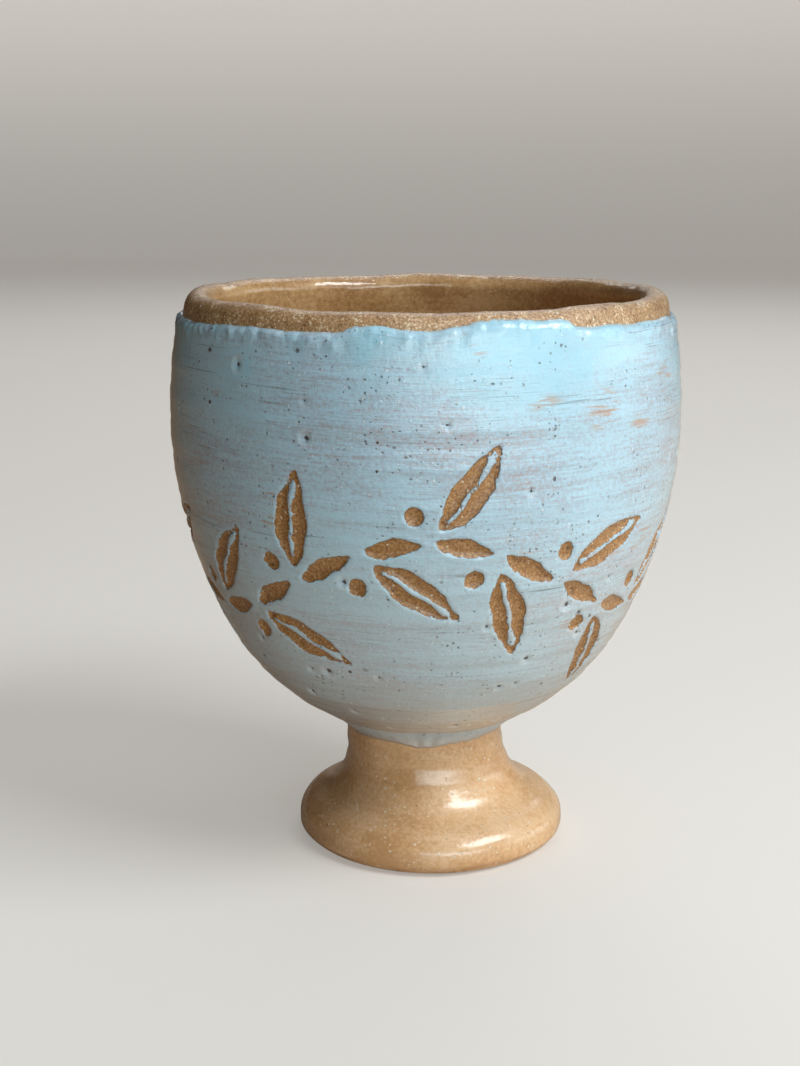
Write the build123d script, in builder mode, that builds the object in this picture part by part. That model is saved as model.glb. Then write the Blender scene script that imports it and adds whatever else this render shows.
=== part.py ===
from build123d import *
import math
import os

# A footed drinking cup: a thrown clay bowl luted to a thrown foot, a white slip coat carved through
# to the clay, and clear glaze. Millimetres, +Z up. The origin is on the cup's axis, on the plane that
# the foot stands on.

# Bowl
cup_height = 94.0  # standing plane to the crest of the lip
belly_radius = 41.2  # clay, at the widest level
belly_height = 73.8
bowl_bottom = 19.6  # height of the bowl's underside on the axis
side_sweep = 27.0  # degrees of the flatter side arc, below the belly
wall = 4.4
floor_thickness = 7.0
lip_draw_in = 1.8  # how far the wall leans in between the belly and the lip

# Foot
flange_radius = 22.7
flange_edge_height = 2.2  # height of the flange's widest level
flange_crown_radius = 5.0
stem_radius = 13.2  # clay, at the waist
waist_height = 16.0
stem_flare = 1.0  # how much wider the stem is at the bowl than at the waist
recess_radius = 15.0  # of the hollow under the foot, at the standing ring
recess_depth = 12.0

# Luted joint
luting_thickness = 0.8
bead_radius = 1.4
score_count = 3  # rings scratched into both faces of the joint
score_spacing = 4.5  # degrees, seen from the centre of the bowl's bottom arc
score_width = 0.9
score_depth = 0.5

# Coats
slip_thickness = 0.5
glaze_thickness = 0.3
bare_lip = 2.6  # lip left bare below its crest, outside and inside
slip_edge_height = 19.7  # where the slip coat ends on the stem
bare_ring = 1.2  # foot left bare above the standing plane

# Carved strokes: a running vine, with a leaf and a berry at each joint between two stem strokes
vine_waves = 3
strokes_per_wave = 8
vine_height = 53.5
vine_swing = 7.0
stem_stroke_gap = 1.6  # slip left between two stem strokes
stem_stroke_width = 2.8
leaf_length = 15.5
leaf_width = 5.2
leaf_angle = 56.0  # degrees between a leaf and the vine
leaf_gap = 2.6  # slip left between a leaf and the vine
berry_radius = 1.5
berry_angle = 115.0  # degrees between a berry's stalk line and the vine, on the leaf's side
berry_reach = 5.0  # from the vine to a berry's centre


def bowl_arcs(radius, depth):
    # Radii of the side and bottom arcs of a bowl that is upright at the belly and level on the axis
    sweep = math.radians(side_sweep)
    offset_between = (depth - radius) / (math.cos(sweep) + math.sin(sweep) - 1)
    return radius + offset_between * math.cos(sweep), depth - offset_between * math.sin(sweep)


# Middle of the wall, from the belly up to the centre of the lip
lip_rise = cup_height - wall / 2 - belly_height
upper_radius = (lip_draw_in**2 + lip_rise**2) / (2 * lip_draw_in)
upper_centre = (belly_radius - wall / 2 - upper_radius, belly_height)
lip_angle = math.degrees(math.asin(lip_rise / upper_radius))
lip_centre = (belly_radius - wall / 2 - lip_draw_in, belly_height + lip_rise)

# Outside of the bowl, below the belly
side_radius, bottom_radius = bowl_arcs(belly_radius, belly_height - bowl_bottom)
side_centre = (belly_radius - side_radius, belly_height)
bottom_centre = (0, bowl_bottom + bottom_radius)

# Inside of the bowl, below the belly
inner_bottom = bowl_bottom + floor_thickness
inner_side_radius, inner_bottom_radius = bowl_arcs(belly_radius - wall, belly_height - inner_bottom)
inner_side_centre = (belly_radius - wall - inner_side_radius, belly_height)
inner_bottom_centre = (0, inner_bottom + inner_bottom_radius)

# Foot: hollow stem arcs above and below the waist, and the flange's full crown
seat_radius = stem_radius + stem_flare
seat_height = bottom_centre[1] - math.sqrt(bottom_radius**2 - seat_radius**2)
flare_rise = seat_height - waist_height
flare_radius = (stem_flare**2 + flare_rise**2) / (2 * stem_flare)
flare_sweep = math.degrees(math.asin(flare_rise / flare_radius))
flange_reach = flange_radius - stem_radius
flange_drop = waist_height - flange_edge_height
hollow_radius = (flange_reach**2 + flange_drop**2) / (2 * flange_reach) - flange_crown_radius
hollow_sweep = math.degrees(math.atan2(flange_drop, hollow_radius + flange_crown_radius - flange_reach))
cap_radius = (recess_radius**2 + recess_depth**2) / (2 * recess_depth)


def outer_bowl_line(growth):
    # The bowl's outside, moved out by growth, from where the lip's round starts down to the axis
    CenterArc(upper_centre, upper_radius + wall / 2 + growth, 0, lip_angle)
    CenterArc(side_centre, side_radius + growth, -side_sweep, side_sweep)
    return CenterArc(bottom_centre, bottom_radius + growth, -90, 90 - side_sweep) @ 0


def inner_bowl_line(growth):
    # The bowl's inside, moved in by growth, from where the lip's round ends down to the axis
    CenterArc(upper_centre, upper_radius - wall / 2 - growth, 0, lip_angle)
    CenterArc(inner_side_centre, inner_side_radius - growth, -side_sweep, side_sweep)
    return CenterArc(inner_bottom_centre, inner_bottom_radius - growth, -90, 90 - side_sweep) @ 0


def foot_half(growth):
    # Half section of the foot, moved out by growth and carried up into the bowl's floor
    flare_centre = (stem_radius + flare_radius, waist_height)
    hollow_centre = (stem_radius + hollow_radius, waist_height)
    crown_centre = (flange_radius - flange_crown_radius, flange_edge_height)
    edge_centre = (flange_radius - flange_edge_height, flange_edge_height)
    core_top = seat_height + floor_thickness / 2
    with BuildLine() as outline:
        seat = CenterArc(flare_centre, flare_radius - growth, 180, -flare_sweep) @ 1
        CenterArc(hollow_centre, hollow_radius - growth, 180, hollow_sweep)
        CenterArc(crown_centre, flange_crown_radius + growth, 0, hollow_sweep)
        ring = CenterArc(edge_centre, flange_edge_height + growth, 0, -90) @ 1
        Polyline(seat, (seat.X, core_top), (0, core_top), (0, ring.Y), ring)
    make_face(outline.edges())


def clay_half(growth):
    # Half section of bowl, foot and seam bead as one filled body, moved out by growth
    with BuildSketch() as section:
        with BuildLine():
            pole = outer_bowl_line(growth)
            crest = CenterArc(lip_centre, wall / 2 + growth, lip_angle, 90 - lip_angle) @ 1
            Polyline(crest, (0, crest.Y), pole)
        make_face()
        foot_half(growth)
        seam = section.vertices().sort_by_distance((seat_radius, seat_height))[0]
        fillet(seam, bead_radius - growth)
    return section.sketch


def mouth_half(growth):
    # Half section of the space inside the bowl, drawn in by growth
    with BuildSketch() as section:
        with BuildLine():
            pole = inner_bowl_line(growth)
            crest = CenterArc(lip_centre, wall / 2 + growth, lip_angle + 180, -90 - lip_angle) @ 1
            Polyline(crest, (0, crest.Y), pole)
        make_face()
    return section.sketch


def keep_between(low, high):
    # Cuts the half section being drawn down to one range of heights
    with Locations((0, low)):
        Rectangle(2 * belly_radius, high - low, align=(Align.MIN, Align.MIN), mode=Mode.INTERSECT)


def score_rings(mode):
    # Scored rings across the joint, square to the bowl's bottom arc
    with Locations(bottom_centre):
        with PolarLocations(
            bottom_radius + luting_thickness / 2, score_count, score_spacing - 90, score_count * score_spacing
        ):
            Rectangle(luting_thickness + 2 * score_depth, score_width, mode=mode)


# Thrown bowl
with BuildPart() as bowl:
    with BuildSketch(Plane.XZ):
        with BuildLine():
            outer_pole = outer_bowl_line(0)
            CenterArc(lip_centre, wall / 2, lip_angle, 180)
            inner_pole = inner_bowl_line(0)
            Line(inner_pole, outer_pole)
        make_face()
        score_rings(Mode.SUBTRACT)
    revolve(axis=Axis.Z)
bowl.part.label = "bowl"

# Thrown foot, hollowed below and cupped above to seat the bowl
with BuildPart() as foot:
    with BuildSketch(Plane.XZ):
        foot_half(0)
        with Locations(bottom_centre):
            Circle(bottom_radius + luting_thickness, mode=Mode.SUBTRACT)
        with Locations((0, recess_depth - cap_radius)):
            Circle(cap_radius, mode=Mode.SUBTRACT)
        score_rings(Mode.SUBTRACT)
        keep_between(0, seat_height)
    revolve(axis=Axis.Z)
foot.part.label = "foot"

# Slip that joins them, keyed into the scored rings, with its bead in the corner of the seam
with BuildPart() as luting_slip:
    with BuildSketch(Plane.XZ):
        add(clay_half(0))
        keep_between(waist_height, seat_height + bead_radius)
        with Locations(bottom_centre):
            Circle(bottom_radius, mode=Mode.SUBTRACT)
        score_rings(Mode.ADD)
    revolve(axis=Axis.Z)
    add(foot.part, mode=Mode.SUBTRACT)
luting_slip.part.label = "luting_slip"


def surface_place(height):
    # Radius of the bowl's clay at a height, and its outward slope in radians
    side_end = side_centre[1] - side_radius * math.sin(math.radians(side_sweep))
    if height > belly_height:
        centre, radius = upper_centre, upper_radius + wall / 2
    elif height > side_end:
        centre, radius = side_centre, side_radius
    else:
        centre, radius = bottom_centre, bottom_radius
    slope = math.asin((height - centre[1]) / radius)
    return centre[0] + radius * math.cos(slope), slope


def stroke_plane(turn, height, heading):
    # Plane on the bowl whose X runs along a stroke, heading being its angle above level
    reach, slope = surface_place(height)
    outward = Vector(math.cos(turn), math.sin(turn), 0)
    around = Vector(-math.sin(turn), math.cos(turn), 0)
    normal = outward * math.cos(slope) + Vector(0, 0, math.sin(slope))
    upward = Vector(0, 0, math.cos(slope)) - outward * math.sin(slope)
    along = around * math.cos(heading) + upward * math.sin(heading)
    return Plane(outward * reach + Vector(0, 0, height), x_dir=along, z_dir=normal)


def step_over(turn, height, heading, distance):
    # Turn and height reached from a place on the bowl by a step over its surface
    reach, slope = surface_place(height)
    new_height = height + distance * math.sin(heading) * math.cos(slope)
    return turn + distance * math.cos(heading) / reach, new_height


def vine_place(turn):
    # Height and heading of the vine at a turn about the axis
    height = vine_height + vine_swing * math.sin(vine_waves * turn)
    reach, slope = surface_place(height)
    climb = vine_waves * vine_swing * math.cos(vine_waves * turn)
    return height, math.atan2(climb / math.cos(slope), reach)


# Places of the carved strokes: stem strokes and leaves as plane, length and width, and the berries
lens_strokes = []
berries = []
joint_count = vine_waves * strokes_per_wave
joint_turn = math.tau / joint_count
for joint in range(joint_count):
    turn = joint_turn * (joint + 0.5)
    height, heading = vine_place(turn)
    reach, slope = surface_place(height)
    stroke_length = joint_turn * reach / math.cos(heading) - stem_stroke_gap
    lens_strokes.append((stroke_plane(turn, height, heading), stroke_length, stem_stroke_width))

    turn = joint_turn * joint
    height, heading = vine_place(turn)
    side = 1 if joint % 2 == 0 else -1
    leaf_heading = heading + side * math.radians(leaf_angle)
    leaf_place = step_over(turn, height, leaf_heading, leaf_gap + leaf_length / 2)
    lens_strokes.append((stroke_plane(*leaf_place, leaf_heading), leaf_length, leaf_width))

    berry_heading = heading + side * math.radians(berry_angle)
    berry_place = step_over(turn, height, berry_heading, berry_reach)
    berries.append(stroke_plane(*berry_place, berry_heading))

# Carved strokes, as tools that cut both outer coats. Each is one pull of the loop, widest in the middle.
with BuildPart() as strokes:
    for plane, length, width in lens_strokes:
        with BuildSketch(plane):
            with BuildLine():
                ThreePointArc((-length / 2, 0), (0, width / 2), (length / 2, 0))
                ThreePointArc((length / 2, 0), (0, -width / 2), (-length / 2, 0))
            make_face()
    for plane in berries:
        with BuildSketch(plane):
            Circle(berry_radius)
    extrude(amount=wall, both=True)

slip_top = cup_height - bare_lip

# White slip over the bowl and the seam, carved through
with BuildPart() as slip_coat:
    with BuildSketch(Plane.XZ):
        add(clay_half(slip_thickness))
        add(clay_half(0), mode=Mode.SUBTRACT)
        keep_between(slip_edge_height, slip_top)
    revolve(axis=Axis.Z)
    add(strokes.part, mode=Mode.SUBTRACT)
slip_coat.part.label = "slip_coat"

# Clear glaze over the slip, drawn back from the carved strokes
with BuildPart() as bowl_glaze:
    with BuildSketch(Plane.XZ):
        add(clay_half(slip_thickness + glaze_thickness))
        add(clay_half(slip_thickness), mode=Mode.SUBTRACT)
        keep_between(slip_edge_height, slip_top)
    revolve(axis=Axis.Z)
    add(strokes.part, mode=Mode.SUBTRACT)
bowl_glaze.part.label = "bowl_glaze"

# Clear glaze over the bare clay of the foot, wiped off near the standing ring
with BuildPart() as foot_glaze:
    with BuildSketch(Plane.XZ):
        add(clay_half(glaze_thickness))
        add(clay_half(0), mode=Mode.SUBTRACT)
        keep_between(bare_ring, slip_edge_height)
    revolve(axis=Axis.Z)
foot_glaze.part.label = "foot_glaze"

# Clear glaze poured round the inside
with BuildPart() as liner_glaze:
    with BuildSketch(Plane.XZ):
        add(mouth_half(0))
        add(mouth_half(glaze_thickness), mode=Mode.SUBTRACT)
        keep_between(inner_bottom, slip_top)
    revolve(axis=Axis.Z)
liner_glaze.part.label = "liner_glaze"

os.makedirs("parts", exist_ok=True)
for piece in (bowl, foot, luting_slip, slip_coat, bowl_glaze, foot_glaze, liner_glaze):
    export_step(piece.part, f"parts/{piece.part.label}.step")
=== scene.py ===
import math
import bpy
import numpy as np
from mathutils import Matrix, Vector


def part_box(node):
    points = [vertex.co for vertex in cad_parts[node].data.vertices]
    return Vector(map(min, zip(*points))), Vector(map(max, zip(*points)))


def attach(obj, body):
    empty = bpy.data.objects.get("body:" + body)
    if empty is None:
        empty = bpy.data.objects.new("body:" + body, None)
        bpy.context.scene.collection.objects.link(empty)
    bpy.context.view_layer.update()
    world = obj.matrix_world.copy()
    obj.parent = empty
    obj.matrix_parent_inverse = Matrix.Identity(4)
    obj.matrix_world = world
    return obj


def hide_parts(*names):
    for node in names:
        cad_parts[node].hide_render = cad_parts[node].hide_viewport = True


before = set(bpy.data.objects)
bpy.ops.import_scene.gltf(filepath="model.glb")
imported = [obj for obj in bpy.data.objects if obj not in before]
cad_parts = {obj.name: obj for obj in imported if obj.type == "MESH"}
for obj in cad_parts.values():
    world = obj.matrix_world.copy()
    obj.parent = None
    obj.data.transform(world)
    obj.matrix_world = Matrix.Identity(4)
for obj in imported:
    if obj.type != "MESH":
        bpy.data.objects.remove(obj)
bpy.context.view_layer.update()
print("frame loaded:", ", ".join(sorted(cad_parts)))

mm = 0.001
quarterTurn = math.pi / 2

# Sizes of the thrown clay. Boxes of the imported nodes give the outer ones, the rest repeat the part's own.
bowlLow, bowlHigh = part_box("bowl")
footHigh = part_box("foot")[1]
linerLow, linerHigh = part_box("liner_glaze")
slipLow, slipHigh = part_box("slip_coat")
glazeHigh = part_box("bowl_glaze")[1]
cup = {
    "height": bowlHigh.z,
    "bellyRadius": bowlHigh.x,
    "bellyHeight": 73.8 * mm,
    "bottom": bowlLow.z,
    "sideSweep": math.radians(27),
    "wall": bowlHigh.x - linerHigh.x,
    "innerBottom": linerLow.z,
    "lipDrawIn": 1.8 * mm,
    "flangeRadius": footHigh.x,
    "flangeEdge": 2.2 * mm,
    "flangeCrown": 5.0 * mm,
    "stemRadius": 13.2 * mm,
    "waist": 16.0 * mm,
    "stemFlare": 1.0 * mm,
    "recessRadius": 15.0 * mm,
    "recessDepth": 12.0 * mm,
    "bead": 1.4 * mm,
}


def bowlRadii(radius, depth):  # side and bottom arcs of a bowl that is upright at its belly
    sweep = cup["sideSweep"]
    apart = (depth - radius) / (math.cos(sweep) + math.sin(sweep) - 1)
    return radius + apart * math.cos(sweep), depth - apart * math.sin(sweep)


bellyHeight = cup["bellyHeight"]
halfWall = cup["wall"] / 2
lipRise = cup["height"] - halfWall - bellyHeight
upperRadius = (cup["lipDrawIn"] ** 2 + lipRise ** 2) / (2 * cup["lipDrawIn"])  # of the middle of the wall
upperCentre = (cup["bellyRadius"] - halfWall - upperRadius, bellyHeight)
lipLean = math.asin(lipRise / upperRadius)
lipCentre = (cup["bellyRadius"] - halfWall - cup["lipDrawIn"], bellyHeight + lipRise)
sideRadius, bottomRadius = bowlRadii(cup["bellyRadius"], bellyHeight - cup["bottom"])
sideCentre = (cup["bellyRadius"] - sideRadius, bellyHeight)
bottomCentre = (0.0, cup["bottom"] + bottomRadius)
innerRadius = cup["bellyRadius"] - cup["wall"]
innerSideRadius, innerBottomRadius = bowlRadii(innerRadius, bellyHeight - cup["innerBottom"])
innerSideCentre = (innerRadius - innerSideRadius, bellyHeight)
innerBottomCentre = (0.0, cup["innerBottom"] + innerBottomRadius)

seatRadius = cup["stemRadius"] + cup["stemFlare"]
seatHeight = bottomCentre[1] - math.sqrt(bottomRadius ** 2 - seatRadius ** 2)
flareRise = seatHeight - cup["waist"]
flareRadius = (cup["stemFlare"] ** 2 + flareRise ** 2) / (2 * cup["stemFlare"])
flareCentre = (cup["stemRadius"] + flareRadius, cup["waist"])


# Profile drawing, all in the plane of radius and height
def walkArc(centre, radius, start, end, step):
    count = max(2, math.ceil(abs(end - start) * radius / step))
    angles = np.linspace(start, end, count + 1)
    return [(centre[0] + radius * math.cos(a), centre[1] + radius * math.sin(a)) for a in angles]


def walkLine(start, end, step):
    count = max(1, math.ceil(math.dist(start, end) / step))
    parts = np.linspace(0, 1, count + 1)
    return [(start[0] + p * (end[0] - start[0]), start[1] + p * (end[1] - start[1])) for p in parts]


def joinWalks(*walks):
    points = list(walks[0])
    for walk in walks[1:]:
        points += walk[1:] if math.dist(points[-1], walk[0]) < 1e-6 else walk
    return points


def angleTo(centre, point):
    return math.atan2(point[1] - centre[1], point[0] - centre[0])


def beadCentre():  # centre of the seam's bead: clear of the bowl by its radius, inside the flare's circle
    reachBowl = bottomRadius + cup["bead"]
    reachFlare = flareRadius - cup["bead"]
    across = Vector(flareCentre) - Vector(bottomCentre)
    gap = across.length
    along = (reachBowl ** 2 - reachFlare ** 2 + gap ** 2) / (2 * gap)
    aside = math.sqrt(reachBowl ** 2 - along ** 2)
    unit = across / gap
    radius = bottomCentre[0] + unit.x * along + unit.y * aside
    height = bottomCentre[1] + unit.y * along - unit.x * aside
    return radius, height


# Blender steps that every piece repeats
def deselectAll():
    if bpy.context.object and bpy.context.object.mode != "OBJECT":
        bpy.ops.object.mode_set(mode="OBJECT")
    bpy.ops.object.select_all(action="DESELECT")


def latheProfile(name, points, columns):  # draws the profile point by point, then spins it round the axis
    deselectAll()
    bpy.ops.mesh.primitive_plane_add(size=mm)
    piece = bpy.context.object
    piece.name = name
    piece.data.name = name
    bpy.ops.object.mode_set(mode="EDIT")
    bpy.ops.mesh.merge(type="CENTER")
    bpy.ops.transform.translate(value=(points[0][0], 0, points[0][1]))
    for (r0, z0), (r1, z1) in zip(points, points[1:]):
        bpy.ops.mesh.extrude_vertices_move(TRANSFORM_OT_translate={"value": (r1 - r0, 0, z1 - z0)})
    bpy.ops.mesh.select_all(action="SELECT")
    bpy.ops.mesh.spin(steps=columns, angle=math.tau, center=(0, 0, 0), axis=(0, 0, 1))
    bpy.ops.mesh.select_all(action="SELECT")
    bpy.ops.mesh.remove_doubles(threshold=1e-6)
    bpy.ops.mesh.normals_make_consistent(inside=False)
    bpy.ops.object.mode_set(mode="OBJECT")
    bpy.ops.object.shade_smooth()
    return piece


def readPoints(piece):
    flat = np.empty(len(piece.data.vertices) * 3)
    piece.data.vertices.foreach_get("co", flat)
    return flat.reshape(-1, 3)


def writePoints(piece, points):
    piece.data.vertices.foreach_set("co", points.ravel())
    piece.data.update()


def writeLayer(piece, name, kind, values):
    layer = piece.data.attributes.new(name, kind, "POINT")
    field = "vector" if kind == "FLOAT_VECTOR" else "value"
    layer.data.foreach_set(field, np.ascontiguousarray(values).ravel())


def finishFaces(piece, mainFinish, otherFinish, other):  # faces at the marked vertices get the other finish
    piece.data.materials.append(mainFinish)
    piece.data.materials.append(otherFinish)
    corners = np.array([face.vertices[0] for face in piece.data.polygons])
    piece.data.polygons.foreach_set("material_index", other[corners].astype(np.int32))
    piece.data.update()


def nearestRow(radius, height, rowRadius, rowHeight):  # which point of the profile each vertex came from
    found = []
    for part in np.array_split(np.arange(len(radius)), 40):
        away = (radius[part, None] - rowRadius) ** 2 + (height[part, None] - rowHeight) ** 2
        found.append(away.argmin(axis=1))
    return np.concatenate(found)


def ease(values, low, high):  # smooth step from 0 at low to 1 at high
    t = np.clip((values - low) / (high - low), 0, 1)
    return t * t * (3 - 2 * t)


def lumps(points, size, seed):  # smooth unevenness of about +-1, with features of the given size
    dice = np.random.default_rng(seed)
    total = np.zeros(len(points))
    for _ in range(9):
        heading = dice.normal(size=3)
        heading /= np.linalg.norm(heading)
        wave = size * dice.uniform(0.7, 1.4)
        total += np.sin(points @ heading * math.tau / wave + dice.uniform(0, math.tau))
    return total / 4


def displaceBy(piece, group, weights, textureKind, scale, strength):  # applied Displace, held to a group
    painted = piece.vertex_groups.new(name=group)
    for index in np.nonzero(weights > 0.01)[0]:
        painted.add([int(index)], float(weights[index]), "REPLACE")
    grain = bpy.data.textures.new(group, textureKind)
    grain.noise_scale = scale
    bpy.ops.object.select_all(action="DESELECT")
    piece.select_set(True)
    bpy.context.view_layer.objects.active = piece
    bpy.ops.object.modifier_add(type="DISPLACE")
    push = piece.modifiers[-1]
    push.texture = grain
    push.texture_coords = "LOCAL"
    push.vertex_group = group
    push.strength = strength
    push.mid_level = 0.5
    bpy.ops.object.modifier_apply(modifier=push.name)
    piece.vertex_groups.remove(piece.vertex_groups[group])


# Hand-thrown unevenness, shared by the bowl and the slip on it
throwing = {
    "low": 26 * mm,  # the unevenness grows from here up to the lip
    "high": 90 * mm,
    "oval": 0.25 * mm,
    "ovalPhase": -1.2,
    "three": 0.15 * mm,
    "threePhase": 1.1,
    "lump": 0.12 * mm,
    "lumpSize": 34 * mm,
    "lumpSeed": 3,
    "lipLow": 76 * mm,
    "lipHigh": 93 * mm,
    "lipWave": 0.20 * mm,
    "lipRipple": 0.09 * mm,
    "ripples": ((5, 0.4), (8, 1.9), (13, 0.0)),  # how many go round the lip, and their phase
    "footShift": 1.2 * mm,  # the flange stands a little to the right of the bowl's axis
}


def throwUneven(points):
    x, y, z = points.T
    turn = np.arctan2(y, x)
    rise = ease(z, throwing["low"], throwing["high"])
    oval = throwing["oval"] * np.cos(2 * turn + throwing["ovalPhase"])
    three = throwing["three"] * np.cos(3 * turn + throwing["threePhase"])
    out = rise * (oval + three)
    out += rise * throwing["lump"] * lumps(points, throwing["lumpSize"], throwing["lumpSeed"])
    lift = throwing["lipWave"] * (np.cos(2 * turn) - 1)  # the lip dips at the front and back
    ripples = [np.sin(count * turn + phase) for count, phase in throwing["ripples"]]
    lift += throwing["lipRipple"] * sum(ripples)
    lift *= ease(z, throwing["lipLow"], throwing["lipHigh"])
    return points + np.stack([out * np.cos(turn), out * np.sin(turn), lift], axis=1)


# Material nodes
def newFinish(name):
    material = bpy.data.materials.new(name)
    material.use_nodes = True
    tree = material.node_tree
    return material, tree, tree.nodes["Principled BSDF"]


def feed(tree, socket, value):  # a link for a socket, a plain setting for a number or colour
    if isinstance(value, bpy.types.NodeSocket):
        tree.links.new(value, socket)
    else:
        socket.default_value = value


def objectPlace(tree):
    return tree.nodes.new("ShaderNodeTexCoord").outputs["Object"]


def layerOf(tree, name, output="Fac"):
    node = tree.nodes.new("ShaderNodeAttribute")
    node.attribute_name = name
    return node.outputs[output]


def stretched(tree, vector, around, up):  # scales a place so that a pattern runs along the brush
    node = tree.nodes.new("ShaderNodeMapping")
    feed(tree, node.inputs["Vector"], vector)
    node.inputs["Scale"].default_value = (around, around, up)
    return node.outputs["Vector"]


def partOf(tree, vector, axis):
    node = tree.nodes.new("ShaderNodeSeparateXYZ")
    feed(tree, node.inputs["Vector"], vector)
    return node.outputs[axis]


def heightOf(tree, vector):
    return partOf(tree, vector, "Z")


def noiseOn(tree, vector, scale, detail=3.0, roughness=0.55):
    node = tree.nodes.new("ShaderNodeTexNoise")
    feed(tree, node.inputs["Vector"], vector)
    node.inputs["Scale"].default_value = scale
    node.inputs["Detail"].default_value = detail
    node.inputs["Roughness"].default_value = roughness
    return node.outputs["Fac"]


def grainsOn(tree, vector, scale):  # distance to the nearest grain, and a random number for it
    node = tree.nodes.new("ShaderNodeTexVoronoi")
    feed(tree, node.inputs["Vector"], vector)
    node.inputs["Scale"].default_value = scale
    split = tree.nodes.new("ShaderNodeSeparateColor")
    feed(tree, split.inputs["Color"], node.outputs["Color"])
    return node.outputs["Distance"], split.outputs["Red"]


def calc(tree, operation, first, second=0.0, third=0.0):
    node = tree.nodes.new("ShaderNodeMath")
    node.operation = operation
    for socket, value in zip(node.inputs, (first, second, third)):
        feed(tree, socket, value)
    return node.outputs["Value"]


def between(tree, value, low, high):  # smooth step from 0 at low to 1 at high
    node = tree.nodes.new("ShaderNodeMapRange")
    node.interpolation_type = "SMOOTHSTEP"
    feed(tree, node.inputs["Value"], value)
    feed(tree, node.inputs["From Min"], low)
    feed(tree, node.inputs["From Max"], high)
    return node.outputs["Result"]


def blendColour(tree, factor, first, second):
    node = tree.nodes.new("ShaderNodeMix")
    node.data_type = "RGBA"
    feed(tree, node.inputs[0], factor)
    feed(tree, node.inputs[6], first)
    feed(tree, node.inputs[7], second)
    return node.outputs[2]


def tint(tree, mask, share, below, over):  # lays a share of one colour over another where the mask is 1
    return blendColour(tree, calc(tree, "MULTIPLY", mask, share), below, over)


def colourSteps(tree, value, steps):
    node = tree.nodes.new("ShaderNodeValToRGB")
    feed(tree, node.inputs["Fac"], value)
    ramp = node.color_ramp
    while len(ramp.elements) < len(steps):
        ramp.elements.new(1.0)
    for element, (place, colour) in zip(ramp.elements, steps):
        element.position = place
        element.color = colour
    return node.outputs["Color"]


def bumpFrom(tree, height):  # height is in metres
    node = tree.nodes.new("ShaderNodeBump")
    node.inputs["Strength"].default_value = 1.0
    node.inputs["Distance"].default_value = 1.0
    feed(tree, node.inputs["Height"], height)
    return node.outputs["Normal"]


def glossOver(tree, shader, height, roughness):  # one relief for the clay and for the clear glaze on it
    normal = bumpFrom(tree, height)
    feed(tree, shader.inputs["Normal"], normal)
    feed(tree, shader.inputs["Coat Normal"], normal)
    shader.inputs["Coat Weight"].default_value = 1.0
    shader.inputs["Coat Roughness"].default_value = roughness


def paint(red, green, blue):  # screen colour, 0 to 255, as the shader's linear colour
    parts = [c / 255 for c in (red, green, blue)]
    return tuple(p / 12.92 if p <= 0.04045 else ((p + 0.055) / 1.055) ** 2.4 for p in parts) + (1.0,)


def jittered(tree, place, scale, reach):  # a place pushed about, so that spots lose their round outline
    noise = tree.nodes.new("ShaderNodeTexNoise")
    feed(tree, noise.inputs["Vector"], place)
    noise.inputs["Scale"].default_value = scale
    push = tree.nodes.new("ShaderNodeVectorMath")
    push.operation = "MULTIPLY_ADD"
    feed(tree, push.inputs[0], noise.outputs["Color"])
    feed(tree, push.inputs[1], (reach, reach, reach))
    feed(tree, push.inputs[2], place)
    return push.outputs["Vector"]


def nearTo(tree, place, centre, inner, outer):  # 1 within the inner reach of a point, 0 beyond the outer
    node = tree.nodes.new("ShaderNodeVectorMath")
    node.operation = "DISTANCE"
    feed(tree, node.inputs[0], place)
    node.inputs[1].default_value = centre
    return between(tree, node.outputs["Value"], outer, inner)


def specks(tree, place, scale, share, size):  # round spots in a share of the cells, as a 0 to 1 mask
    distance, luck = grainsOn(tree, place, scale)
    reach = calc(tree, "MULTIPLY", calc(tree, "SUBTRACT", luck, 1.0 - share), size / share)
    return between(tree, calc(tree, "SUBTRACT", reach, distance), 0.0, 0.06)


clayTones = {
    "pale": paint(233, 193, 149),
    "mid": paint(221, 175, 127),
    "dark": paint(184, 136, 90),
    "cut": paint(168, 118, 62),
    "cutPale": paint(195, 150, 96),
    "cutDark": paint(134, 88, 42),
    "lip": paint(180, 140, 97),
    "iron": paint(66, 46, 34),
    "grain": paint(246, 231, 204),
}

slipTones = {
    "wetSheen": paint(158, 214, 232),
    "thick": paint(182, 220, 236),
    "even": paint(182, 213, 228),
    "thin": paint(174, 196, 210),
    "bare": paint(175, 169, 174),
    "chalk": paint(210, 219, 219),
    # warm beige-grey low down: thinner slip, and painted shade and warm floor reflection
    "low": paint(178, 166, 150),
    "hairline": paint(92, 96, 100),
    "scuff": paint(188, 140, 102),
    "glint": paint(244, 250, 252),
}

slipLook = {
    "loadedLow": 72 * mm,  # the brush was full from here up to the lip, where the cyan pooling is partly a painted sheen
    "loadedHigh": 88 * mm,
    "chalkHigh": 68 * mm,  # the slip is whiter from here down
    "chalkLow": 42 * mm,
    "thinShadedHigh": 40 * mm,  # the slip is thinner from here down to the stem, with painted shade and a painted warm floor reflection
    "thinShadedLow": 21 * mm,
    "fadeHigh": 24.6 * mm,  # thin enough for the clay to show
    "fadeLow": 21.4 * mm,
    "fadeRagged": 4 * mm,
    "wornPlace": (25 * mm, -32 * mm, 79 * mm),  # scuffed through, at the front right
    "wornInner": 2 * mm,
    "wornOuter": 4.4 * mm,
}


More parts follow.
